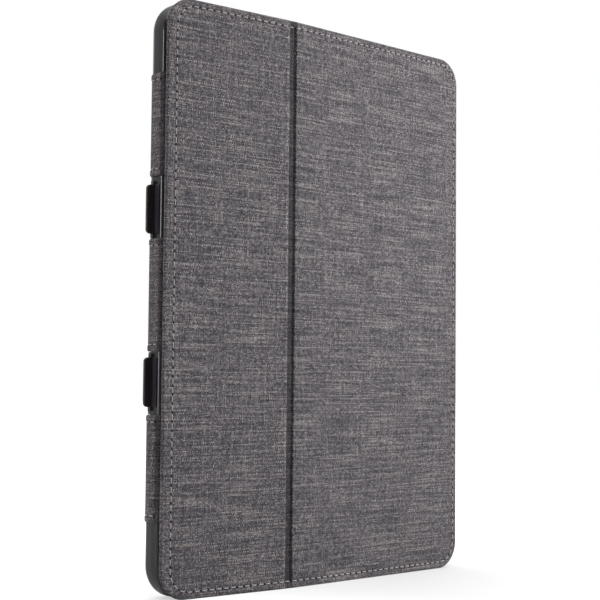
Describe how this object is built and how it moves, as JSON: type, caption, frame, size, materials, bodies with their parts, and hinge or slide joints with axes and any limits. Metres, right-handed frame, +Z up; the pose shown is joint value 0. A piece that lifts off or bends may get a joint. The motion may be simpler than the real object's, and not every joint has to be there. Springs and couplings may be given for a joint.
{
  "type": "tablet folio case",
  "caption": "Slim folio case for a tablet: hard snap-in shell, fabric-covered folding front cover on fabric spine straps, and side hooks.",
  "frame": {"origin": "centre of the bounding box's bottom, with the case standing upright and closed", "axes": "+X right, from the strap side to the cover's free edge; +Y back, out of the shell's back; +Z up the case's height"},
  "size_m": [0.1777, 0.0173, 0.2434],
  "materials": {
    "shell": "smooth glossy moulded plastic",
    "hook": "satin moulded plastic",
    "outer_fabric": "plain-woven heathered canvas",
    "lining": "brushed microfibre",
    "board": "pressed greyboard",
    "magnet": "nickel plated",
    "thread": "twisted polyester thread"
  },
  "bodies": {
    "shell": {"shell_tray": "shell", "tray_lining": "lining", "upper_hook": "hook", "lower_hook": "hook", "upper_strap_tail": "outer_fabric", "middle_strap_tail": "outer_fabric", "lower_strap_tail": "outer_fabric"},
    "spine": {"upper_strap": "outer_fabric", "upper_strap_lining": "lining", "middle_strap": "outer_fabric", "middle_strap_lining": "lining", "lower_strap": "outer_fabric", "lower_strap_lining": "lining", "hem_stitching": "thread"},
    "narrow_panel": {"narrow_outer_fabric": "outer_fabric", "narrow_board": "board", "narrow_lining": "lining", "narrow_stitching": "thread", "upper_strap_root": "lining", "middle_strap_root": "lining", "lower_strap_root": "lining"},
    "wide_panel": {"wide_outer_fabric": "outer_fabric", "wide_board": "board", "wide_lining": "lining", "wide_stitching": "thread", "closure_magnets": "magnet", "wake_magnets": "magnet"}
  },
  "joints": [
    {"name": "spine_hinge", "type": "hinge", "parent": "shell", "child": "spine", "pos_m": [-0.0819, 0.00864, 0], "axis": [0, 0, -1], "range_deg": [0, 150]},
    {"name": "cover_hinge", "type": "hinge", "parent": "spine", "child": "narrow_panel", "pos_m": [-0.0861, -0.00316, 0], "axis": [0, 0, -1], "range_deg": [0, 150]},
    {"name": "fold_hinge", "type": "hinge", "parent": "narrow_panel", "child": "wide_panel", "pos_m": [-0.021, -0.00681, 0], "axis": [0, 0, -1], "range_deg": [0, 98]}
  ]
}
